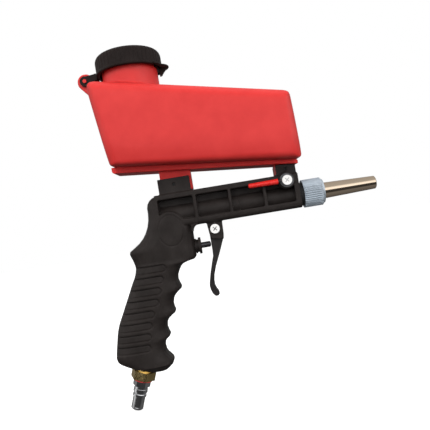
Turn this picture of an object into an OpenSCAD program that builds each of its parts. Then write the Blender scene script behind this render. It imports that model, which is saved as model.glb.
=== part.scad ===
// Hand-held gravity-feed abrasive blasting gun.
// +X runs along the barrel towards the nozzle, +Z up towards the hopper, Y across the gun.
// The origin lies on the axis of the barrel and of the nozzle bore. Millimetres.

/* [Barrel frame] */
// Width of the barrel frame across its two rails
frame_w = 28; // [24:0.5:32]
// Outer radius of the barrel tube
tube_r = 9.5; // [8.5:0.25:11]
// Bore radius of the front half of the barrel
barrel_bore_r = 7; // [6:0.25:7.5]
// Half thickness of the web between the rails
web_t = 4; // [2.5:0.5:6]

/* [Grip] */
// Scale of the grip's thickness
grip_t_scale = 1; // [0.85:0.05:1.15]
// Depth of the grip slots
slot_deep = 0.9; // [0.4:0.1:1.5]

/* [Hopper] */
// Width of the hopper body
hopper_w = 72; // [64:1:84]
// Wall thickness of the hopper
hopper_wall = 2.4; // [1.6:0.2:3.5]
// Width of the base strip under the hopper
base_w = 30; // [20:1:54]
// Width of the two tongues that stand in the forks
keel_w = 15; // [12:0.5:18]
// Outer radius of the filler neck
neck_r = 25.5; // [22:0.5:28]
// Radius of the media outlet
outlet_r = 3.6; // [2.8:0.2:3.8]

/* [Cap] */
// Radial room between the filler neck and the cap skirt
cap_room = 1.9; // [1.8:0.1:2.6]
// Thickness of the cap skirt
cap_skirt = 3.1; // [2:0.1:4]

/* [Trigger] */
// Width of the trigger blade
trigger_w = 10.6; // [8:0.2:13]
// Radius of the valve plunger
plunger_r = 2.7; // [2:0.1:3.2]

/* [Nozzle] */
// Radius of the nozzle's through bore
nozzle_bore_r = 3; // [2:0.25:4]
// Radius of the nozzle at its tip
nozzle_tip_r = 6; // [5:0.25:7]
// Outer radius of the knurled collar
collar_r = 12.9; // [11.5:0.1:14.5]

/* [Fits] */
// Radial clearance of parts that turn or slide
run = 0.05; // [0.02:0.01:0.1]

/* [Hidden] */
$fn = 64;
frame_front = -6.5;
frame_top = 19.9;
frame_low = -12;
half_w = frame_w / 2;
spigot_r = tube_r + 0.1;
spigot_end = 10;
tube_end = -62;
guard_r = 6;
stem_end = -6.3;
nozzle_end = 65.5;
trig = [-88, -18.2];
plunger_z = -31.6;
face_x = -108.4;
valve_r = 5.5;
media = [-17.5, 14.4];
media_r = 4.9;
fork_gap = keel_w / 2 + 0.15;
fork_w = 4.6;
pin_rear = [-118.3, 27.4];
pin_front = [-16.5, 24.8];
neck_x = -142.6;
neck_top = 149.5;
cap_r = neck_r + cap_room + cap_skirt;
cap_low = 136.1;
cap_top = 153.8;
peg = [-184, 134.5];
lug_t = 6;
inlet_at = [-175.5, 0, -140.8];
inlet_tilt = 200.2;
thread_r = 6.53;

// ---- colours
black = [0.12, 0.115, 0.115];
red = [0.82, 0.13, 0.12];
grey = [0.62, 0.66, 0.7];
steel = [0.7, 0.68, 0.64];
brass = [0.85, 0.72, 0.38];
rubber = [0.06, 0.06, 0.06];

// ---- helpers
module cyl_y(r, y0, y1, p) translate([p[0], y0, p[1]]) rotate([-90, 0, 0]) cylinder(r = r, h = y1 - y0);
module cyl_x(r, x0, x1, z = 0) translate([x0, 0, z]) rotate([0, 90, 0]) cylinder(r = r, h = x1 - x0);
module cone_x(r0, r1, x0, x1, z = 0) translate([x0, 0, z]) rotate([0, 90, 0])
  cylinder(r1 = r0, r2 = r1, h = x1 - x0);
module ring_x(r_in, r_out, x0, x1, z = 0) difference() {
  cyl_x(r_out, x0, x1, z);
  cyl_x(r_in, x0 - 1, x1 + 1, z);
}
module slab_y(pts, y0, y1) translate([0, y1, 0]) rotate([90, 0, 0]) linear_extrude(y1 - y0) polygon(pts);
module slab_x(pts, x0, x1) translate([x0, 0, 0]) rotate([90, 0, 90]) linear_extrude(x1 - x0) polygon(pts);
module box(a, b) translate(a) cube(b - a);
module at_inlet() translate(inlet_at) rotate([0, inlet_tilt, 0]) children();
module cross_cut(r, deep) for (a = [45, 135]) rotate(a) translate([-r, -r * 0.16, -deep])
  cube([2 * r, r * 0.32, deep + 1]);

function unit(v) = v / norm(v);
function left(v) = [-v[1], v[0]];
// Corner i of a convex anticlockwise outline, moved inwards by d
function inset_at(p, i, d) = let (n = len(p), a = p[(i + n - 1) % n], b = p[i], c = p[(i + 1) % n],
  u = unit(b - a), w = unit(c - b), m = left(u) + left(w)) b + m * d * 2 / (m * m);
function inset(p, d) = [for (i = [0:len(p) - 1]) inset_at(p, i, d)];
// Outline with every corner rounded to its own radius
function rounded(p, r, n = 6) = [for (i = [0:len(p) - 1])
  let (k = len(p), b = p[i], u = unit(p[(i + k - 1) % k] - b), w = unit(p[(i + 1) % k] - b),
    half = acos(u * w) / 2, c = b + unit(u + w) * r[i] / sin(half),
    s = b + u * r[i] / tan(half) - c, e = b + w * r[i] / tan(half) - c,
    turn = cross(s, e) > 0 ? 1 : -1, sweep = turn * (180 - 2 * half), a0 = atan2(s[1], s[0]))
  for (j = [0:n]) c + r[i] * [cos(a0 + sweep * j / n), sin(a0 + sweep * j / n)]];

// ---- grip: slices across Z, each [z, rear x, front x, half thickness]
grip = [[-140, -163, -157, 4], [-138.8, -168, -152, 8.5], [-137, -172, -149.2, 11.5],
  [-134.3, -178.5, -146, 13.6], [-132, -183.5, -144.7, 14.6], [-129.5, -189.3, -144.9, 15.2],
  [-127, -193.8, -146.8, 15.6], [-124.5, -196.4, -149, 15.8], [-121.5, -196.9, -150.5, 16],
  [-117, -196.2, -150.8, 16], [-113, -195.4, -149.6, 16], [-110.6, -194.9, -147.2, 15.9],
  [-109, -194.5, -144.8, 15.8], [-107.6, -194.2, -144.2, 15.8], [-105, -193.6, -145.2, 15.9],
  [-101, -192.7, -146.2, 16], [-97, -191.6, -145.6, 16], [-93, -190.2, -143.2, 16],
  [-90, -188.9, -139.4, 15.9], [-88.2, -188, -136.3, 15.8], [-86.4, -187.1, -135.8, 15.8],
  [-84, -185.8, -136.7, 15.9], [-80, -183.7, -137.1, 16], [-75.5, -181.5, -135.8, 16],
  [-72, -179.6, -133.3, 16], [-69, -178.1, -129.8, 15.9], [-67.3, -177.2, -127.2, 15.8],
  [-65.5, -176.3, -126.9, 15.8], [-63, -175, -127.9, 15.9], [-59, -173, -129.1, 16],
  [-55, -170.9, -128.7, 16], [-51, -168.6, -126.8, 16], [-47.5, -167.2, -124.6, 16],
  [-45, -166.5, -121.8, 15.8], [-43.4, -166.2, -116.5, 15.4], [-42.5, -166.1, -111, 15.2],
  [-40.5, -166.3, -108.8, 15.2], [-36, -167.3, -108.4, 15.4], [-32, -168.7, -108.4, 15.6],
  [-29, -169.6, -108.4, 15.8], [-27, -168.8, -108.4, 15.9], [-24, -164, -108.4, 16],
  [-20.5, -158.9, -108.4, 16], [-16.5, -154.8, -108.4, 16], [-12, -151.7, -108.4, 16],
  [-7, -149.3, -110.5, 16], [-1, -147.6, -113, 15.8], [5, -146.9, -116, 15.2],
  [10, -146.9, -118, 14.6], [13.5, -146, -120, 14.2], [16.5, -143.8, -121, 14],
  [18.4, -141.2, -122, 13.4], [19.2, -138.5, -123, 12.6]];
grip_n = 20;
// Rounded slice with flattened sides
function slice(s) = let (c = (s[1] + s[2]) / 2, a = (s[2] - s[1]) / 2, t = s[3] * grip_t_scale)
  [for (k = [0:grip_n - 1]) let (q = 360 * (k + 0.5) / grip_n, u = cos(q), v = sin(q))
    [c + a * sign(u) * pow(abs(u), 0.72), t * sign(v) * pow(abs(v), 0.62), s[0]]];
module grip_loft() {
  m = len(grip);
  pts = [for (s = grip) each slice(s)];
  polyhedron(points = pts, faces = concat(
    [[for (k = [0:grip_n - 1]) k]],
    [for (i = [0:m - 2]) for (k = [0:grip_n - 1]) let (a = i * grip_n + k,
      b = i * grip_n + (k + 1) % grip_n) each [[a, a + grip_n, b], [b, a + grip_n, b + grip_n]]],
    [[for (k = [grip_n - 1:-1:0]) (m - 1) * grip_n + k]]));
}

// Grip slots: rows parallel to the barrel, open at the rear edge
slot_pitch = 9.87;
slot_ends = [-137, -140.7, -144.6, -148.4, -153.8, -157.6, -160.2, -162];
module grip_slots() for (s = [-1, 1], i = [0:len(slot_ends) - 1]) {
  z = -45.6 - i * slot_pitch;
  side = 16 * grip_t_scale;
  box([-205, s > 0 ? side - slot_deep : -side - 5, z - 3.4],
      [slot_ends[i] - 3.4, s > 0 ? side + 5 : -side + slot_deep, z + 3.4]);
  cyl_y(3.4, s > 0 ? side - slot_deep : -side - 5, s > 0 ? side + 5 : -side + slot_deep,
    [slot_ends[i] - 3.4, z]);
}

// ---- barrel frame
module frame_slab() slab_x(rounded([[-half_w, frame_low], [half_w, frame_low], [half_w, frame_top],
  [-half_w, frame_top]], [4, 4, 1.5, 1.5], 4), -138, frame_front);
pocket_z = [-5.5, 14.9];
pocket_x = [[-100.6, -71.4], [-68.8, -40], [-37, -11.4]];
module pockets() for (s = [-1, 1]) {
  y0 = s > 0 ? web_t : -20;
  y1 = s > 0 ? 20 : -web_t;
  slab_y(concat([for (a = [124:-15.6:30]) [-127.5 + 14.5 * cos(a), -13.5 + 17.5 * sin(a)]],
    [[-103.6, pocket_z[0]], [-103.6, pocket_z[1]], [-135.6, pocket_z[1]]]), y0, y1);
  for (p = pocket_x) box([p[0], y0, pocket_z[0]], [p[1], y1, pocket_z[1]]);
}
module forks() for (s = [-1, 1]) {
  y0 = s > 0 ? fork_gap : -fork_gap - fork_w;
  y1 = y0 + fork_w;
  box([-132.8, y0, 17], [-103.6, y1, 33.6]);
  slab_y([[-24.8, 17], [-7.2, 17], [-7.2, 27.5], [-8, 28.2], [-24, 29.7], [-24.8, 29]], y0, y1);
}
module trigger_ears() for (s = [-1, 1]) {
  y0 = s > 0 ? trigger_w / 2 + 0.2 : -trigger_w / 2 - 3.7;
  slab_y([[-95, -10], [-93.8, -22], [-92.3, -27.1], [-81.6, -28.7], [-80.9, -24], [-80.5, -10]],
    y0, y0 + 3.5);
}
// Rounded inside corner between the grip and the underside of the frame
module guard_fillet() slab_y(concat([[-109, frame_low + 1], [face_x + guard_r, frame_low + 1]],
  [for (a = [90:15:180]) [face_x + guard_r + guard_r * cos(a), frame_low - guard_r + guard_r * sin(a)]],
  [[-109, frame_low - guard_r]]), 1 - half_w, half_w - 1);
module barrel_tube() color(black) difference() {
  union() {
    cyl_x(tube_r, tube_end, frame_front);
    cyl_x(spigot_r, frame_front, spigot_end);
  }
  cyl_x(barrel_bore_r, tube_end - 1, spigot_end + 1);
  cyl_y(media_r + run, -20, 20, media);
  translate([media[0], 0, 0]) cylinder(r = outlet_r, h = 40);
}
module gun_body() color(black) difference() {
  union() {
    difference() {
      union() {
        grip_loft();
        frame_slab();
      }
      pockets();
      grip_slots();
    }
    cyl_x(tube_r, -136, frame_front - 1);
    guard_fillet();
    for (y0 = [-15.2, fork_gap]) cyl_y(7.6, y0, y0 + 15.2 - fork_gap, media);
    forks();
    trigger_ears();
  }
  cyl_x(tube_r, tube_end, spigot_end);
  cyl_x(4, -126, tube_end + 1);
  translate([-119.6, 0, plunger_z]) cylinder(r = 2.2, h = -plunger_z);
  cyl_x(valve_r, -146, face_x + 1, plunger_z);
  at_inlet() translate([0, 0, -114]) cylinder(r = 3.6, h = 90);
  at_inlet() translate([0, 0, -28]) cylinder(r = 7, h = 40);
  at_inlet() translate([0, 0, -7.2]) cylinder(r = 8.4, h = 12);
  at_inlet() translate([0, 0, -4]) cylinder(r = 12.2, h = 20);
  cyl_y(media_r + run, -20, 20, media);
  translate([media[0], 0, 0]) cylinder(r = outlet_r, h = 40);
  cyl_y(1.5, -20, 20, pin_rear);
  cyl_y(1.5, -20, 20, pin_front);
  cyl_y(2 + run / 2, -20, 20, trig);
}

// ---- air inlet
module inlet_nut() color(brass) at_inlet() difference() {
  union() {
    translate([0, 0, -3.8]) rotate(8) cylinder(r = 11.55, h = 7.6, $fn = 6);
    translate([0, 0, -7.2]) cylinder(r = 8.2, h = 3.5);
    translate([0, 0, -28]) cylinder(r = 7, h = 22);
  }
  translate([0, 0, -14]) cylinder(r = thread_r + run, h = 30);
  translate([0, 0, -30]) cylinder(r = 3.6, h = 30);
}
module inlet_seal() color(red) at_inlet() translate([0, 0, 3.8]) difference() {
  cylinder(r = 9, h = 1.4);
  translate([0, 0, -1]) cylinder(r = thread_r + run, h = 4);
}
module air_plug() color(steel) at_inlet() difference() {
  union() {
    translate([0, 0, -9.4]) cylinder(r = thread_r, h = 14.6);
    translate([0, 0, 5.2]) cylinder(r = 8.1, h = 5.4, $fn = 6);
    translate([0, 0, 10.5]) cylinder(r = 6.2, h = 2.9);
    translate([0, 0, 13.3]) cylinder(r = 6.6, h = 2.8);
    translate([0, 0, 16]) cylinder(r = 5.4, h = 2.3);
    translate([0, 0, 18.2]) cylinder(r = 6.3, h = 1.8);
    translate([0, 0, 20]) cylinder(r = 5.6, h = 11.6);
    translate([0, 0, 31.6]) cylinder(r1 = 5.6, r2 = 4.8, h = 0.9);
  }
  translate([0, 0, -20]) cylinder(r = 2.6, h = 60);
  for (a = [30:120:270]) rotate(a) translate([5, -2, 27]) cube([3, 4, 3.6]);
}

// ---- air valve, in line with the trigger
seat_x = -124;
module valve_seat() color(brass) difference() {
  cyl_x(valve_r, seat_x, seat_x + 3, plunger_z);
  cyl_x(plunger_r + 0.6, seat_x - 1, seat_x + 4, plunger_z);
}
module packing_nut() color(black) difference() {
  union() {
    cyl_x(valve_r, -117, face_x, plunger_z);
    cyl_x(6.8, face_x, -107.2, plunger_z);
    cyl_x(5.9, -107.3, -105.2, plunger_z);
    cyl_x(7.6, -105.2, -103.1, plunger_z);
  }
  cyl_x(plunger_r + run, -118, -102, plunger_z);
  cyl_x(plunger_r + 1, -118, -110, plunger_z);
}
module valve_plunger() color(steel) difference() {
  union() {
    cyl_x(plunger_r, seat_x - 2, -94.95, plunger_z);
    cone_x(plunger_r, 1.4, -94.95, -94, plunger_z);
    cyl_x(1.5, seat_x - 8, seat_x - 2, plunger_z);
  }
  ring_x(plunger_r - 0.6, plunger_r + 1, -112.2, -110.8, plunger_z);
}
module plunger_oring() color(rubber) ring_x(plunger_r - 0.6, plunger_r + 0.95, -112.2, -110.8, plunger_z);
module poppet_seal() color(rubber) ring_x(plunger_r, 4.7, seat_x - 1, seat_x - 0.02, plunger_z);
module valve_poppet() color(brass) difference() {
  union() {
    cyl_x(4.8, seat_x - 4.5, seat_x - 1, plunger_z);
    cyl_x(2.4, seat_x - 8, seat_x - 4.5, plunger_z);
  }
  cyl_x(1.5, seat_x - 9, seat_x, plunger_z);
  cyl_x(plunger_r, seat_x - 2, seat_x, plunger_z);
}
// Coil spring behind the poppet, a round wire swept along a helix
spring_turns = 6;
spring_wire = 0.45;
spring_span = [-145.4, seat_x - 5.1];
module valve_spring() color(steel) {
  n = spring_turns * 12;
  m = 6;
  r = 3.4;
  pts = [for (i = [0:n]) let (q = 30 * i, x = spring_span[0] + (spring_span[1] - spring_span[0]) * i / n)
    for (k = [0:m - 1]) let (w = 360 * k / m, rr = r + spring_wire * cos(w))
      [x + spring_wire * sin(w), rr * cos(q), plunger_z + rr * sin(q)]];
  polyhedron(points = pts, faces = concat([[for (k = [m - 1:-1:0]) k]],
    [for (i = [0:n - 1]) for (k = [0:m - 1]) let (a = i * m + k, b = i * m + (k + 1) % m)
      each [[a, b, a + m], [b, b + m, a + m]]],
    [[for (k = [0:m - 1]) n * m + k]]));
}

// ---- barrel internals
module air_tube() color(steel) ring_x(2.6, 4, -112, -50);
module air_jet() color(brass) difference() {
  union() {
    cyl_x(barrel_bore_r - run / 2, -50, -42);
    cone_x(5.2, 2.4, -42, -31);
  }
  cyl_x(1.3, -60, -30);
  cyl_x(2.6, -51, -44);
}
module mixing_liner() color(steel) difference() {
  ring_x(5.4, barrel_bore_r, -29, stem_end - 0.2);
  translate([media[0], 0, 0]) cylinder(r = outlet_r, h = 10);
}
module barrel_ring() color(rubber) ring_x(spigot_r + run / 2, 10.7, frame_front, -2.7);

// ---- nozzle
module nozzle() color(steel) difference() {
  union() {
    cyl_x(barrel_bore_r - run, stem_end, spigot_end);
    cyl_x(9.2, spigot_end, 12.8);
    cyl_x(7.4, 12.8, 18);
    cone_x(7.4, nozzle_tip_r, 18, nozzle_end - 0.7);
    cone_x(nozzle_tip_r, nozzle_tip_r - 0.7, nozzle_end - 0.7, nozzle_end);
  }
  cyl_x(nozzle_bore_r + 1.2, -11, 70);
}
module nozzle_liner() color([0.9, 0.89, 0.86]) ring_x(nozzle_bore_r, nozzle_bore_r + 1.2,
  stem_end, nozzle_end - 0.3);
knurls = 42;
module nozzle_collar() color(grey) difference() {
  union() {
    translate([-2.6, 0, 0]) rotate([90, 0, 90]) linear_extrude(17.1) polygon([for (i = [0:2 * knurls - 1])
      let (r = collar_r - (i % 2) * 0.6) r * [cos(180 * i / knurls), sin(180 * i / knurls)]]);
    cone_x(collar_r - 0.8, collar_r - 2, 14.4, 16.5);
  }
  cyl_x(spigot_r + run, -4, 12.85);
  cyl_x(7.4 + run, 12, 20);
}

// ---- media valve and its lever
module media_valve() color(steel) difference() {
  cyl_y(media_r, -15.3, 15.3, media);
  cyl_x(outlet_r, -30, -5, media[1]);
  cyl_y(1.8, -16, -8, media);
  cyl_y(1.5, 8, 16, media);
}
module valve_retainer() color(steel) difference() {
  cyl_y(7.2, 15.3, 16.5, media);
  cyl_y(1.5, 15, 17, media);
}
module retainer_screw() color(steel) difference() {
  union() {
    cyl_y(1.5, 9, 17, media);
    cyl_y(3, 16.5, 18.3, media);
  }
  translate([media[0], 18.3, media[1]]) rotate([-90, 0, 0]) cross_cut(1.9, 1);
}
lever_y = -17.3;
module lever_arm() color(steel) difference() {
  union() {
    cyl_y(6.2, -17.6, -15.3, media);
    cyl_x_at(1.3, -50, media[0] - 5);
  }
  cyl_y(1.8, -19, -15, media);
}
module cyl_x_at(r, x0, x1) translate([0, lever_y, media[1]]) cyl_x(r, x0, x1);
module lever_sleeve() color(red) difference() {
  union() {
    translate([0, lever_y, media[1]]) cone_x(2.1, 2.5, -51.6, -25.6);
    translate([0, lever_y, media[1]]) cone_x(1.3, 2.1, -52.4, -51.6);
  }
  cyl_x_at(1.3, -50, -20);
}
module lever_screw() color([0.93, 0.93, 0.92]) difference() {
  union() {
    cyl_y(1.8, -18, -9, media);
    cyl_y(4.4, -20, -17.6, media);
  }
  translate([media[0], -20, media[1]]) rotate([90, 0, 0]) cross_cut(2.4, 1.2);
}

// ---- trigger
blade = [[-93.7, -18.2], [-93.6, -37.5], [-93.9, -43], [-96.4, -50.5], [-99.2, -59.5], [-100.9, -66.3],
  [-101.4, -69.4], [-100.9, -73.2], [-99.6, -76.8], [-97.3, -79.6], [-94.9, -79.5], [-93.4, -78.1],
  [-93.7, -76], [-95.2, -73.4], [-96.4, -70], [-96.3, -65.8], [-95.2, -59.6], [-92.6, -52.2],
  [-88.1, -42.5], [-84.2, -33.6], [-82.3, -29], [-82.3, -18.2]];
module trigger() color(black) difference() {
  union() {
    slab_y(blade, -trigger_w / 2, trigger_w / 2);
    cyl_y(5.7, -trigger_w / 2, trigger_w / 2, trig);
  }
  cyl_y(2 + run, -20, 20, trig);
}
ear_y = trigger_w / 2 + 3.7;
module trigger_screw() color(steel) difference() {
  union() {
    cyl_y(2, -ear_y, ear_y + 4, trig);
    cyl_y(4.3, -ear_y - 2, -ear_y, trig);
  }
  translate([trig[0], -ear_y - 2, trig[1]]) rotate([90, 0, 0]) cross_cut(2.3, 1.1);
}
module trigger_nut() color(steel) difference() {
  translate([trig[0], ear_y, trig[1]]) rotate([-90, 0, 0]) cylinder(r = 4, h = 3.2, $fn = 6);
  cyl_y(2, ear_y - 1, ear_y + 6, trig);
}

// ---- hopper: the side outline, then the rounded extrusions it is cut with
side = [[-170.2, 51], [-2.1, 31.1], [-4, 91.8], [-180.2, 129.2]];
function floor_z(x) = side[0][1] + (x - side[0][0]) * (side[1][1] - side[0][1]) / (side[1][0] - side[0][0]);
function half_profile(w, top, low) = [[-w + 1.8, low], [w - 1.8, low], [w, low + (top - low) * 0.45],
  [w - 1.4, top], [-w + 1.4, top], [-w, low + (top - low) * 0.45]];
module along(a, b, from, to, pts) translate([a[0], 0, a[1]])
  rotate([0, -atan2(b[1] - a[1], b[0] - a[0]), 0]) slab_x(pts, from, to);
module hopper_form(d) {
  w = hopper_w / 2 - d;
  p = inset(side, d);
  intersection() {
    slab_y(rounded(p, [3.6 - d, 3.6 - d, 9 - d, 8 - d]), -w, w);
    // rounded along the top edges
    along(p[3], p[2], -20, 220, rounded(half_profile(w, 0, -105), [2, 2, 40, 10 - d, 10 - d, 40]));
    // rounded along the bottom edges
    along(p[0], p[1], -20, 200, rounded([[-w, 0], [w, 0], [w, 120], [-w, 120]],
      [4.6 - d, 4.6 - d, 1, 1]));
    // rounded along the upright edges of the rear and of the front wall
    upright(p[0], p[3], [[0, -w], [230, -w], [230, w], [0, w]], [10 - d, 1, 1, 10 - d]);
    upright(p[1], p[2], [[-230, -w], [0, -w], [0, w], [-230, w]], [1, 10 - d, 10 - d, 1]);
  }
}
module upright(a, b, pts, r) translate([a[0], 0, a[1]])
  rotate([0, atan2(b[0] - a[0], b[1] - a[1]), 0]) translate([0, 0, -90]) linear_extrude(260)
  polygon(rounded(pts, r));
module lug() slab_y([peg + [-6.6, -3.5], peg + [-3, -8], peg + [0.4, -12], [-180.4, 119], [-178, 112],
  [-172, 112], [-170, 124], [-175, 127], peg + [6.2, 4.2]], -lug_t / 2, lug_t / 2);
module hopper_shell() color(red) difference() {
  union() {
    hopper_form(0);
    translate([neck_x, 0, 100]) cylinder(r = neck_r, h = neck_top - 100);
    lug();
    cyl_y(7.5, -lug_t / 2, lug_t / 2, peg);
  }
  hopper_form(hopper_wall);
  translate([neck_x, 0, 95]) cylinder(r = neck_r - hopper_wall, h = 80);
  translate([media[0], 0, 20]) cylinder(r = outlet_r, h = 40);
  cyl_y(1.7, -10, 10, peg);
}
// Base strip and tongues, welded under the hopper floor
tongue_low = frame_top + 1.2;
base_x = [-172, -3.8];
base_low = [45.8, 28];
module hopper_base() color(red) difference() {
  union() {
    intersection() {
      slab_y(rounded([[base_x[0], floor_z(base_x[0]) - 0.03], [base_x[0] + 0.2, base_low[0]],
        [base_x[1] - 0.2, base_low[1]], [base_x[1], floor_z(base_x[1]) - 0.03]], [0.3, 3, 1, 0.3], 4),
        -base_w / 2, base_w / 2);
      along([base_x[0], base_low[0]], [base_x[1], base_low[1]], -5, 175, rounded([[-base_w / 2, 0],
        [base_w / 2, 0], [base_w / 2, 20], [-base_w / 2, 20]], [0.9, 0.9, 1, 1], 4));
      translate([0, 0, 20]) linear_extrude(40) polygon(rounded([[base_x[0], -base_w / 2],
        [base_x[1], -base_w / 2], [base_x[1], base_w / 2], [base_x[0], base_w / 2]], [5, 5, 5, 5]));
    }
    box([-130.4, -keel_w / 2, tongue_low], [-101.8, keel_w / 2, floor_z(-101.8) - 0.4]);
    box([-25, -keel_w / 2, tongue_low], [-8, keel_w / 2, floor_z(-8) - 0.2]);
  }
  translate([media[0], 0, 10]) cylinder(r = outlet_r, h = 60);
  cyl_y(1.5, -20, 20, pin_rear);
  cyl_y(1.5, -20, 20, pin_front);
}
module outlet_gasket() color(rubber) difference() {
  box([-24.6, -keel_w / 2 + 0.4, frame_top], [-8.4, keel_w / 2 - 0.4, tongue_low]);
  translate([media[0], 0, 10]) cylinder(r = outlet_r, h = 20);
}
module rear_hopper_pin() color(steel) cyl_y(1.5, -11, 11, pin_rear);
module front_screw(s) color(steel) cyl_y(1.5, s > 0 ? 4.4 : -10.6, s > 0 ? 10.6 : -4.4, pin_front);
module front_screw_left() front_screw(1);
module front_screw_right() front_screw(-1);

// ---- cap
module lug_peg() color(red) cyl_y(1.7, -7, 7, peg);
cap_ribs = 48;
// Half outline of the lift tab, from the skirt to its tip, and the thin web under it
tab = [[-6.5, 19.5], [-2, 15.5], [0.2, 9.4], [2.8, 7.2], [4.6, 4.8], [6.2, 1.4]];
tab_t = 2.2;
module hopper_cap() color(black) difference() {
  union() {
    translate([neck_x, 0, cap_low]) cylinder(r = cap_r, h = 2);
    translate([neck_x, 0, cap_low + 1.8]) linear_extrude(cap_top - cap_low - 5.2)
      polygon([for (i = [0:2 * cap_ribs - 1]) let (r = cap_r - 0.15 - (i % 2) * 0.5)
        r * [cos(180 * i / cap_ribs), sin(180 * i / cap_ribs)]]);
    translate([neck_x, 0, cap_top - 3.4]) cylinder(r1 = cap_r - 0.9, r2 = cap_r - 1.7, h = 1.9);
    translate([neck_x, 0, cap_top - 1.5]) cylinder(r1 = cap_r - 1.75, r2 = cap_r - 4, h = 1.5);
    translate([neck_x + cap_r, 0, cap_low]) linear_extrude(tab_t) polygon(concat(
      [for (p = tab) [p[0], -p[1]]], [for (i = [len(tab) - 1:-1:0]) tab[i]]));
    translate([neck_x + cap_r, 0, cap_low]) slab_y([[2 - cap_skirt, -6.8], [0.6, -4], [5.2, 0.4],
      [2 - cap_skirt, 0.4]], -1.2, 1.2);
  }
  translate([neck_x, 0, cap_low - 9]) cylinder(r = neck_r + cap_room, h = neck_top + 1.5 - cap_low + 9);
}
module cap_seal() color(rubber) translate([neck_x, 0, neck_top])
  cylinder(r = neck_r + cap_room - 0.3, h = 1.5);
strap_low = 132.4;
module cap_strap() color(black) difference() {
  union() {
    for (s = [-1, 1]) {
      y0 = s > 0 ? lug_t / 2 + 0.15 : -lug_t / 2 - 2.95;
      cyl_y(4.6, y0, y0 + 2.8, peg);
      slab_y([[peg[0] + 1, strap_low - 1.2], [neck_x - cap_r + 1, strap_low + 2.2],
        [neck_x - cap_r + 1, strap_low + 7.6], [peg[0] + 1, strap_low + 6.4]], y0, y0 + 2.8);
    }
    box([neck_x - cap_r - 1.6, -lug_t / 2 - 2.95, cap_low], [neck_x - cap_r + 2.5, lug_t / 2 + 2.95,
      strap_low + 7.6]);
  }
  translate([neck_x, 0, 100]) cylinder(r = cap_r + run / 2, h = 80);
  cyl_y(1.7 + run, -20, 20, peg);
}

gun_body();
barrel_tube();
inlet_nut();
inlet_seal();
air_plug();
valve_seat();
packing_nut();
valve_plunger();
plunger_oring();
valve_poppet();
poppet_seal();
valve_spring();
air_tube();
air_jet();
mixing_liner();
barrel_ring();
nozzle();
nozzle_liner();
nozzle_collar();
media_valve();
valve_retainer();
retainer_screw();
lever_arm();
lever_sleeve();
lever_screw();
trigger();
trigger_screw();
trigger_nut();
hopper_shell();
hopper_base();
outlet_gasket();
rear_hopper_pin();
front_screw_left();
front_screw_right();
lug_peg();
hopper_cap();
cap_strap();
cap_seal();
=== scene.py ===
import math

import bmesh
import bpy
import numpy as np
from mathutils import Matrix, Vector


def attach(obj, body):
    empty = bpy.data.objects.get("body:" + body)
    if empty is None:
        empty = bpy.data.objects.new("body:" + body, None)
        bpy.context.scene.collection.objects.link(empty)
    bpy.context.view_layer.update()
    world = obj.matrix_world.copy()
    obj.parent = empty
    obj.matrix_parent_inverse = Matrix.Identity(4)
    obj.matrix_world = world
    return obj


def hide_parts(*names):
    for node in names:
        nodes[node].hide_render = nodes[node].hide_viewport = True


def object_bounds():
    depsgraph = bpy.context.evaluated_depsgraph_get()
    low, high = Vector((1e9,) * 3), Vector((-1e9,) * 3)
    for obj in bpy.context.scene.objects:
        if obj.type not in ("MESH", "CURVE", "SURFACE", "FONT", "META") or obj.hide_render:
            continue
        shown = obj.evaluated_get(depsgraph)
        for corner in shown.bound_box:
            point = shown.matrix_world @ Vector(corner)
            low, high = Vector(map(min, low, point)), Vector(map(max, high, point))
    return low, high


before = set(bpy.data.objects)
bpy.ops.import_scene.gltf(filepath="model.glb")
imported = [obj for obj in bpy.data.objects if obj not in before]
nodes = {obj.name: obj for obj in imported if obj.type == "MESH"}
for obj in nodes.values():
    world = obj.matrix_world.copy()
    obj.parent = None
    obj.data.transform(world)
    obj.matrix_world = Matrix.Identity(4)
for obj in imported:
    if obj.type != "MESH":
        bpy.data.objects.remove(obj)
cad_box = [list(map(float, c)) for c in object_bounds()]
MM = 0.001


# ------------------------------------------------------------ materials
class Nodes:
    """A material's node tree with short calls for the nodes used here."""

    def __init__(self, name):
        self.mat = bpy.data.materials.new(name)
        self.mat.use_nodes = True
        self.tree = self.mat.node_tree
        self.bsdf = self.tree.nodes["Principled BSDF"]

    def new(self, kind, **props):
        node = self.tree.nodes.new("ShaderNode" + kind)
        for key, value in props.items():
            setattr(node, key, value)
        return node

    def link(self, a, b):
        self.tree.links.new(a, b)

    def set(self, **values):
        for key, value in values.items():
            self.bsdf.inputs[key.replace("_", " ")].default_value = value

    def noise(self, scale, detail=3.0, rough=0.5, stretch=(1, 1, 1)):
        place = self.new("Mapping")
        place.inputs["Scale"].default_value = stretch
        self.link(self.new("TexCoord").outputs["Object"], place.inputs["Vector"])
        n = self.new("TexNoise")
        n.inputs["Scale"].default_value = scale
        n.inputs["Detail"].default_value = detail
        n.inputs["Roughness"].default_value = rough
        self.link(place.outputs["Vector"], n.inputs["Vector"])
        return n.outputs["Fac"]

    def ramp(self, fac, stops):
        r = self.new("ValToRGB")
        while len(r.color_ramp.elements) < len(stops):
            r.color_ramp.elements.new(0.5)
        for element, (at, colour) in zip(r.color_ramp.elements, stops):
            element.position = at
            element.color = colour if len(colour) == 4 else (*colour, 1)
        self.link(fac, r.inputs["Fac"])
        return r.outputs["Color"]

    def bump(self, height, strength, distance, below=None):
        b = self.new("Bump")
        b.inputs["Strength"].default_value = strength
        b.inputs["Distance"].default_value = distance
        self.link(height, b.inputs["Height"])
        if below is not None:
            self.link(below, b.inputs["Normal"])
        self.link(b.outputs["Normal"], self.bsdf.inputs["Normal"])
        return b.outputs["Normal"]


def grey(v):
    return (v, v, v)


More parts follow.
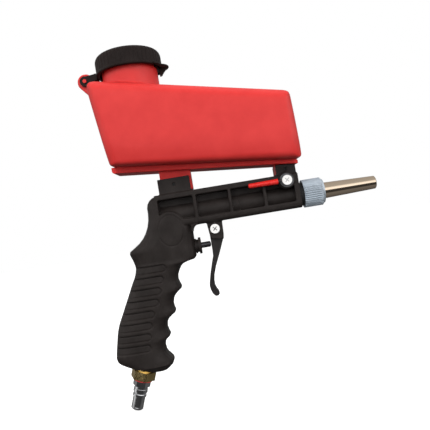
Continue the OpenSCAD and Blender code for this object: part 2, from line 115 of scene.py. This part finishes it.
def moulded(name, dark, light, rough, grain, depth, coat=0.0, gloss=0.35):
    """Moulded plastic or powder coat: mottled colour, fine grain, scuffed roughness."""
    m = Nodes(name)
    m.link(m.ramp(m.noise(60, 4, 0.6), [(0.3, dark), (0.72, light)]), m.bsdf.inputs["Base Color"])
    scuff = m.ramp(m.noise(210, 5, 0.65), [(0.3, grey(rough[0])), (0.7, grey(rough[1]))])
    m.link(scuff, m.bsdf.inputs["Roughness"])
    m.bump(m.noise(grain, 2, 0.6), 0.35, depth)
    m.set(Coat_Weight=coat, Coat_Roughness=0.12, Specular_IOR_Level=gloss)
    return m.mat


def metal(name, dark, light, rough, streak=(1, 1, 1), depth=0.00002, metallic=1.0):
    """Machined metal: streaks along the cut and slight tarnish."""
    m = Nodes(name)
    m.link(m.ramp(m.noise(90, 4, 0.6, streak), [(0.3, dark), (0.7, light)]), m.bsdf.inputs["Base Color"])
    m.link(m.ramp(m.noise(260, 3, 0.6, streak), [(0.3, grey(rough[0])), (0.7, grey(rough[1]))]),
           m.bsdf.inputs["Roughness"])
    m.bump(m.noise(500, 2, 0.5, streak), 0.2, depth)
    m.set(Metallic=metallic)
    return m.mat


black = moulded("body_black", (0.0125, 0.0095, 0.0085), (0.023, 0.0185, 0.017),
                (0.45, 0.62), 1500, 0.00007, gloss=0.2)
cap_black = moulded("cap_black", (0.0085, 0.0052, 0.0046), (0.0145, 0.0095, 0.0085),
                    (0.42, 0.56), 1300, 0.00005, gloss=0.14)
trigger_black = moulded("trigger_black", (0.009, 0.008, 0.008), (0.016, 0.0135, 0.013),
                        (0.3, 0.42), 1200, 0.00004, gloss=0.3)
red = moulded("hopper_red", (0.525, 0.026, 0.024), (0.585, 0.034, 0.031),
              (0.36, 0.46), 500, 0.00005, 0.03, 0.24)
# painted light: the hopper's red made lighter for the base strip, which sits under the tank's overhang
strip_red_painted_light = moulded("strip_red_painted_light", (0.6, 0.026, 0.024), (0.66, 0.034, 0.031),
                    (0.4, 0.5), 500, 0.00005, 0.0, 0.16)
sleeve_red = moulded("sleeve_red", (0.6, 0.012, 0.01), (0.7, 0.02, 0.014), (0.22, 0.32), 700, 0.00004, 0.3)
seal_red = moulded("seal_red", (0.42, 0.02, 0.02), (0.5, 0.035, 0.03), (0.6, 0.75), 900, 0.00006)
rubber = moulded("rubber", grey(0.009), grey(0.016), (0.6, 0.75), 1500, 0.00005)
ceramic = moulded("ceramic", (0.7, 0.67, 0.6), (0.78, 0.75, 0.68), (0.25, 0.4), 900, 0.00003)
pale = moulded("pale_screw", (0.7, 0.69, 0.67), (0.82, 0.81, 0.79), (0.35, 0.5), 800, 0.00005)
collar_metal = metal("collar_alloy", (0.36, 0.42, 0.48), (0.5, 0.56, 0.62), (0.4, 0.55), metallic=0.55)
bright = metal("nozzle_bright", (0.64, 0.49, 0.36), (0.78, 0.64, 0.49), (0.08, 0.16), (0.05, 1, 1))
chrome = metal("plug_chrome", (0.62, 0.62, 0.63), (0.75, 0.75, 0.76), (0.07, 0.16))
zinc = metal("zinc_steel", (0.5, 0.49, 0.47), (0.66, 0.65, 0.62), (0.2, 0.34))
dark_steel = metal("dark_steel", (0.05, 0.05, 0.055), (0.11, 0.11, 0.115), (0.25, 0.4), metallic=0.9)
pin_black = metal("blackened_pin", grey(0.004), grey(0.009), (0.5, 0.7), metallic=0.2)
# painted shade for the floors of the screws' cross recesses, darker than the screws themselves
painted_shade_pale = metal("painted_shade_pale", grey(0.3), grey(0.42), (0.5, 0.7), metallic=0.2)
recess = metal("recess_shade", grey(0.02), grey(0.05), (0.5, 0.7), metallic=0.3)
brass = metal("brass", (0.72, 0.52, 0.2), (0.87, 0.68, 0.32), (0.14, 0.26))

LOOKS = {
    black: "gun_body barrel_tube packing_nut",
    cap_black: "hopper_cap cap_strap",
    trigger_black: "trigger",
    red: "hopper_shell lug_peg",
    strip_red_painted_light: "hopper_base",
    sleeve_red: "lever_sleeve",
    seal_red: "inlet_seal",
    rubber: "plunger_oring poppet_seal barrel_ring outlet_gasket cap_seal",
    ceramic: "nozzle_liner",
    pale: "lever_screw trigger_screw",
    collar_metal: "nozzle_collar",
    bright: "nozzle",
    chrome: "air_plug",
    zinc: "valve_spring air_tube mixing_liner media_valve valve_retainer retainer_screw trigger_nut",
    dark_steel: "valve_plunger lever_arm",
    pin_black: "rear_hopper_pin front_screw_left front_screw_right",
    brass: "inlet_nut valve_seat valve_poppet air_jet",
}
for mat, names in LOOKS.items():
    for name in names.split():
        if name in nodes:
            nodes[name].data.materials.clear()
            nodes[name].data.materials.append(mat)


# ------------------------------------------------------------ detailed pieces
# the named sizes from here to the screws are in millimetres
def moulded_copy(node, name, voxel, smooth_steps):
    """A copy of a CAD node's mesh, remeshed evenly so that its edges come out slightly rounded."""
    mesh = nodes[node].data.copy()
    obj = bpy.data.objects.new(name, mesh)
    scene.collection.objects.link(obj)
    weld = obj.modifiers.new("weld", "WELD")
    weld.merge_threshold = 0.00001
    re = obj.modifiers.new("remesh", "REMESH")
    re.mode = "VOXEL"
    re.voxel_size = voxel
    if smooth_steps:
        sm = obj.modifiers.new("smooth", "SMOOTH")
        sm.iterations = smooth_steps
        sm.factor = 0.5
    deps = bpy.context.evaluated_depsgraph_get()
    done = bpy.data.meshes.new_from_object(obj.evaluated_get(deps))
    obj.modifiers.clear()
    obj.data = done
    bpy.data.meshes.remove(mesh)
    done.materials.clear()
    done.shade_smooth()
    return obj


def coords(obj):
    co = np.empty(len(obj.data.vertices) * 3)
    obj.data.vertices.foreach_get("co", co)
    return co.reshape(-1, 3)


def put_coords(obj, co):
    obj.data.vertices.foreach_set("co", co.reshape(-1))
    obj.data.update()


def step(value, low, high):
    t = np.clip((value - low) / (high - low), 0, 1)
    return t * t * (3 - 2 * t)


scene = bpy.context.scene

# ---- gun body: rounded casting, grip with slots, finger creases and a thin oval ring
VOXEL = 0.55
body = moulded_copy("gun_body", "frame_and_grip", VOXEL * MM, 2)
body.data.materials.append(black)
co = coords(body) / MM
x, y, z = co.T
SLOT_PITCH = 9.87
SLOT_TOP = -45.6
SLOT_FRONT = [-137.0, -140.7, -144.6, -148.4, -153.8, -157.6, -160.2, -162.0]
SLOT_HALF = 3.4
SLOT_DEEP = 1.35
HALF = 16.0
# silhouette of the grip at each height, from the frame's own mesh
levels = np.arange(-139.0, -20.0, 1.0)
grip_zone = (z < -19) & (x < -100)
rear, front = [], []
for level in levels:
    near = grip_zone & (np.abs(z - level) < 0.8)
    rear.append(x[near].min())
    front.append(x[near].max())
rear = np.interp(z, levels, rear)
front = np.interp(z, levels, front)
mid, reach = (rear + front) / 2, (front - rear) / 2
# distance from the axis of the slice as a share of the smooth superellipse
u = np.abs(x - mid) / np.maximum(reach, 0.1)
v = np.abs(y) / HALF
share = np.power(u, 2 / 0.72) + np.power(v, 2 / 0.62)
onside = grip_zone * (z > -133) * (share > 0.55) * (1 - step(z, -44.0, -39.0))
target = HALF * np.power(np.clip(1 - np.power(np.clip(u, 0, 0.995), 2 / 0.72), 0.001, 1), 0.31)
blend = onside * step(v, 0.5, 0.75)
y_new = np.sign(y) * (np.abs(y) * (1 - blend) + target * blend)
# slots, deepest along their upper edge
cut = np.zeros(len(z))
for i, end in enumerate(SLOT_FRONT):
    zc = SLOT_TOP - i * SLOT_PITCH
    dx = np.maximum(x - (end - SLOT_HALF), 0)
    d = np.sqrt(dx ** 2 + (z - zc) ** 2)
    inside = 1 - step(d, SLOT_HALF - 0.5, SLOT_HALF + 0.4)
    tilt = 0.6 + 0.18 * np.clip((z - zc) / SLOT_HALF, -1, 1)
    edge = np.exp(-(((d - SLOT_HALF + 0.35) / 0.5) ** 2))
    cut = np.maximum(cut, inside * tilt + 0.4 * edge)
cut *= grip_zone & (z < -40) & (z > -123) & (u < 1.02)
y_new -= np.sign(y) * cut * SLOT_DEEP * step(v, 0.25, 0.6)
# creases run in from the tips between the fingers
FINGER_TIPS = [(-108.4, -38.0), (-126.9, -65.5), (-135.8, -86.4), (-144.2, -107.6)]
for tip_x, tip_z in FINGER_TIPS:
    run_in = np.clip((tip_x - x) / 16.0, 0, 1)
    hollow = np.exp(-((z - tip_z + 10.5) / 7.0) ** 2) * (1 - run_in) ** 1.5
    y_new -= np.sign(y) * grip_zone * (z < -40) * step(v, 0.3, 0.7) * hollow * 1.3
# oval ring line on both sides of the upper grip
ring = np.sqrt(((x + 127.5) / 11.5) ** 2 + ((z + 13.5) / 14.0) ** 2)
line = np.exp(-(((ring - 1) * 12.5) / 0.45) ** 2)
y_new -= np.sign(y) * line * 0.45 * (np.abs(y) > 12.5) * (z < 3.0)
co[:, 1] = y_new
put_coords(body, co * MM)
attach(body, "gun")
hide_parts("gun_body")

# ---- hopper: one soft blow moulding
tank = moulded_copy("hopper_shell", "hopper_tank", (0.9) * MM, 0)
tank.data.materials.append(red)
co = coords(tank) / MM
x, y, z = co.T
NECK_X, NECK_R = -142.6, 25.5
off_neck = np.hypot(x - NECK_X, y)
in_neck = (off_neck < NECK_R + 3.0) & (z > 112)
in_lug = (x < -172) & (np.abs(y) < 5) & (z > 108)
soft = tank.vertex_groups.new(name="soft")
soft.add([int(i) for i in np.nonzero(~in_neck & ~in_lug)[0]], 1.0, "REPLACE")
sm = tank.modifiers.new("soften", "SMOOTH")
sm.iterations = 9
sm.factor = 0.5
sm.vertex_group = "soft"
done = bpy.data.meshes.new_from_object(tank.evaluated_get(bpy.context.evaluated_depsgraph_get()))
tank.modifiers.clear()
tank.vertex_groups.clear()
tank.data = done
done.shade_smooth()
# the sides bulge slightly, and draw in towards the bottom and the top
co = coords(tank) / MM
x, y, z = co.T
FLOOR_ENDS = [(-170.2, 51.0), (-2.1, 31.1)]
TOP_ENDS = [(-180.2, 129.2), (-4.0, 91.8)]
floor_line = np.interp(x, *zip(*FLOOR_ENDS))
top_line = np.interp(x, *zip(*TOP_ENDS))
height = (z - floor_line) / (top_line - floor_line)
draw_in = 3.2 * np.clip((0.36 - height) / 0.36, 0, 1) ** 2 + 1.6 * np.clip((height - 0.6) / 0.4, 0, 1) ** 2
body_zone = (np.hypot(x - NECK_X, y) > NECK_R + 2.5) | (height < 0.97)
co[:, 1] = y - np.sign(y) * draw_in * step(np.abs(y), 8.0, 26.0) * body_zone
put_coords(tank, co * MM)
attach(tank, "gun")
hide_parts("hopper_shell")

# ---- cap: ribbed skirt with a smooth band below and a rounded shoulder, lift tab and web
CAP_R, CAP_IN, CAP_LOW, CAP_TOP, CEILING = 30.5, 27.4, 136.1, 153.6, 151.0
SHOULDER = 6.0
RIBS = 48
rows = [(0.0, CEILING, 0), (CAP_IN - 0.6, CEILING, 0), (CAP_IN, CEILING - 0.6, 0), (CAP_IN, CAP_LOW + 0.5, 0),
        (CAP_IN + 0.5, CAP_LOW, 0), (CAP_R - 0.5, CAP_LOW, 0), (CAP_R, CAP_LOW + 0.5, 0),
        (CAP_R, CAP_LOW + 2.4, 0), (CAP_R - 0.1, CAP_LOW + 2.7, 0.6), (CAP_R - 0.1, CAP_LOW + 3.3, 1),
        (CAP_R - 0.1, CAP_LOW + 9, 1)]
for turn in (0, 20, 40, 58, 74):
    a = math.radians(turn)
    rows.append((CAP_R - SHOULDER + (SHOULDER - 0.1) * math.cos(a),
                 CAP_TOP - SHOULDER + SHOULDER * math.sin(a), 1.0 - 0.9 * (turn / 74) ** 3))
rows += [(CAP_R - SHOULDER - 0.4, CAP_TOP, 0), (CAP_R - SHOULDER - 1.6, CAP_TOP, 0),
         (CAP_R - SHOULDER - 2.2, CAP_TOP - 0.5, 0), (0.0, CAP_TOP - 0.5, 0)]
RIB_STEPS = 10
around = RIBS * RIB_STEPS
phase = (np.arange(around) % RIB_STEPS) / RIB_STEPS
groove = 0.65 * np.exp(-(((phase - 0.5) / 0.19) ** 2))
angle = 2 * math.pi * np.arange(around) / around
verts, faces = [], []
for radius, level, share in rows:
    r = radius - groove * share
    verts += [(NECK_X + r[k] * math.cos(angle[k]), r[k] * math.sin(angle[k]), level) for k in range(around)]
for i in range(len(rows) - 1):
    for k in range(around):
        n = (k + 1) % around
        faces.append((i * around + k, i * around + n, (i + 1) * around + n, (i + 1) * around + k))


def mesh_piece(name, verts, faces, mat, body, smooth=True, bevel=0.0):
    """A piece from points in millimetres, merged, with its normals outwards."""
    mesh = bpy.data.meshes.new(name)
    mesh.from_pydata([tuple(c * MM for c in v) for v in verts], [], faces)
    b = bmesh.new()
    b.from_mesh(mesh)
    bmesh.ops.remove_doubles(b, verts=b.verts, dist=0.00002)
    bmesh.ops.recalc_face_normals(b, faces=b.faces)
    if bevel:
        bmesh.ops.bevel(b, geom=list(b.edges), offset=bevel * MM, segments=3, affect="EDGES",
                        clamp_overlap=True)
    b.to_mesh(mesh)
    b.free()
    if smooth:
        mesh.shade_smooth()
    mesh.materials.append(mat)
    obj = bpy.data.objects.new(name, mesh)
    scene.collection.objects.link(obj)
    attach(obj, body)
    return obj


def prism(outline, low, high, place):
    """Points and faces of an outline drawn out from low to high; place(u, v, w) gives x, y, z."""
    n = len(outline)
    points = [place(u, v, w) for w in (low, high) for u, v in outline]
    sides = [(k, (k + 1) % n, n + (k + 1) % n, n + k) for k in range(n)]
    return points, [tuple(range(n)), tuple(range(2 * n - 1, n - 1, -1))] + sides


cap = mesh_piece("ribbed_cap", verts, faces, cap_black, "cap")
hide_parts("hopper_cap")
half = [(-6.5, 19.5), (-2, 15.5), (0.2, 9.4), (1.5, 8.1), (2.8, 7.0), (4.4, 5.0), (5.5, 2.8), (6.1, 0.8)]
edge_x = NECK_X + CAP_R
tab = prism([(u, -v) for u, v in half] + half[::-1], CAP_LOW, CAP_LOW + 2.2,
            lambda u, v, w: (edge_x + u, v, w))
tab = mesh_piece("cap_lift_tab", *tab, cap_black, "cap", bevel=0.45)
web = prism([(-3.1, -6.6), (-1.4, -6.3), (0.8, -3.4), (3.4, -0.8), (5.4, 0.4), (-3.1, 0.4)], -2, 2,
            lambda u, v, w: (edge_x + u, w, CAP_LOW + v))
web = mesh_piece("cap_tab_web", *web, cap_black, "cap", smooth=False)

# ---- painted shade: dark plates on the floors of the cross recesses in the two big screws
def plus(name, centre, y_near, y_far, arm, wide, body, mat):
    w = wide / 2
    shape = [(-w, -arm), (w, -arm), (w, -w), (arm, -w), (arm, w), (w, w), (w, arm), (-w, arm), (-w, w),
             (-arm, w), (-arm, -w), (-w, -w)]
    c = math.sqrt(0.5)
    parts = prism([(c * (u - v), c * (u + v)) for u, v in shape], y_near, y_far,
                  lambda u, v, w: (centre[0] + u, w, centre[1] + v))
    piece = mesh_piece(name, *parts, mat, body, smooth=False)


plus("trigger_screw_painted_shade", (-88.0, -18.2), -10.9, -9.9, 2.25, 0.7, "gun", recess)
plus("lever_screw_painted_shade", (-17.5, 14.4), -19.75, -18.8, 2.35, 0.7, "media_valve", painted_shade_pale)

# ------------------------------------------------------------ camera, floor and light
bpy.ops.mesh.primitive_plane_add(size=6, location=(-0.09, 0, cad_box[0][2] - 0.0006))
floor = bpy.context.object
floor.name = "floor"
floor_look = Nodes("pale_floor")
floor_look.set(Base_Color=(0.6, 0.6, 0.6, 1), Roughness=0.9, Specular_IOR_Level=0.1,
               Emission_Color=(1, 1, 1, 1), Emission_Strength=0.72)
floor.data.materials.append(floor_look.mat)
floor.visible_diffuse = False
floor.visible_glossy = False

AIM = Vector((-0.086, 0.0, -0.006))
DISTANCE = 0.45
ROLL = math.radians(9.4)
cam = bpy.data.cameras.new("camera")
cam_obj = bpy.data.objects.new("camera", cam)
scene.collection.objects.link(cam_obj)
scene.camera = cam_obj
cam_obj.location = AIM + Vector((0, -DISTANCE, 0))
cam_obj.rotation_euler = (math.radians(90), ROLL, 0)
cam.sensor_width = 36
cam.lens = 36 * 484 / 430
cam.clip_start = 0.01


def area(name, size, power, place, aim, colour=(1, 1, 1)):
    light = bpy.data.lights.new(name, "AREA")
    light.shape = "RECTANGLE"
    light.size, light.size_y = size
    light.energy = power
    light.color = colour
    obj = bpy.data.objects.new(name, light)
    scene.collection.objects.link(obj)
    obj.location = place
    obj.rotation_euler = (Vector(aim) - Vector(place)).to_track_quat("-Z", "Y").to_euler()
    return obj


area("key", (0.7, 0.5), 7, (-0.45, -0.75, 0.75), (-0.09, 0, 0.02)).visible_glossy = False
area("front", (0.7, 0.3), 1.1, (-0.1, -0.9, -0.12), (-0.09, 0, 0.03)).visible_glossy = False
for light in (area("fill", (0.8, 0.6), 3, (0.7, -0.6, 0.25), (-0.06, 0, 0)),
              area("top", (0.8, 0.8), 4, (-0.05, 0.1, 0.95), (-0.08, 0, 0)),
              area("back", (0.8, 0.6), 1.5, (0.1, 0.9, 0.5), (-0.08, 0, 0))):
    light.visible_glossy = False
area("low", (0.12, 0.12), 0.5, (0.06, -0.3, -0.28), (0.02, 0, 0)).visible_glossy = False

world = bpy.data.worlds.new("studio")
scene.world = world
world.use_nodes = True
wt = world.node_tree
back = wt.nodes["Background"]
direction = wt.nodes.new("ShaderNodeTexCoord")
split = wt.nodes.new("ShaderNodeSeparateXYZ")
lift = wt.nodes.new("ShaderNodeMapRange")
lift.inputs["From Min"].default_value = -1
lift.inputs["From Max"].default_value = 1
shade = wt.nodes.new("ShaderNodeValToRGB")
# brightness of the studio from straight down to straight up, before and behind the object
BEFORE = [(0.0, 0.16), (0.12, 0.2), (0.2, 0.04), (0.46, 0.05), (0.5, 1.2), (0.56, 1.6), (0.74, 1.2),
          (0.82, 0.5), (1.0, 0.5)]
BEHIND = [(0.0, 0.14), (0.4, 0.08), (0.5, 0.3), (0.62, 0.4), (0.8, 0.45), (1.0, 0.5)]


def fill_ramp(ramp, stops):
    while len(ramp.color_ramp.elements) < len(stops):
        ramp.color_ramp.elements.new(0.5)
    for element, (at, level) in zip(ramp.color_ramp.elements, stops):
        element.position = at
        element.color = (level, level, level, 1)


fill_ramp(shade, BEFORE)
behind = wt.nodes.new("ShaderNodeValToRGB")
fill_ramp(behind, BEHIND)
depth = wt.nodes.new("ShaderNodeMapRange")
depth.inputs["From Min"].default_value = -0.1
depth.inputs["From Max"].default_value = 0.35
both = wt.nodes.new("ShaderNodeMix")
both.data_type = "RGBA"
wt.links.new(direction.outputs["Generated"], split.inputs["Vector"])
wt.links.new(split.outputs["Z"], lift.inputs["Value"])
wt.links.new(lift.outputs["Result"], shade.inputs["Fac"])
wt.links.new(lift.outputs["Result"], behind.inputs["Fac"])
wt.links.new(split.outputs["Y"], depth.inputs["Value"])
wt.links.new(depth.outputs["Result"], both.inputs["Factor"])
wt.links.new(shade.outputs["Color"], both.inputs["A"])
wt.links.new(behind.outputs["Color"], both.inputs["B"])
seen = wt.nodes.new("ShaderNodeLightPath")
white = wt.nodes.new("ShaderNodeBackground")
white.inputs["Strength"].default_value = 1.0
white.inputs["Color"].default_value = (1, 1, 1, 1)
pick = wt.nodes.new("ShaderNodeMixShader")
wt.links.new(both.outputs["Result"], back.inputs["Color"])
wt.links.new(seen.outputs["Is Camera Ray"], pick.inputs["Fac"])
wt.links.new(back.outputs["Background"], pick.inputs[1])
wt.links.new(white.outputs["Background"], pick.inputs[2])
wt.links.new(pick.outputs["Shader"], wt.nodes["World Output"].inputs["Surface"])
scene.view_settings.view_transform = "Standard"
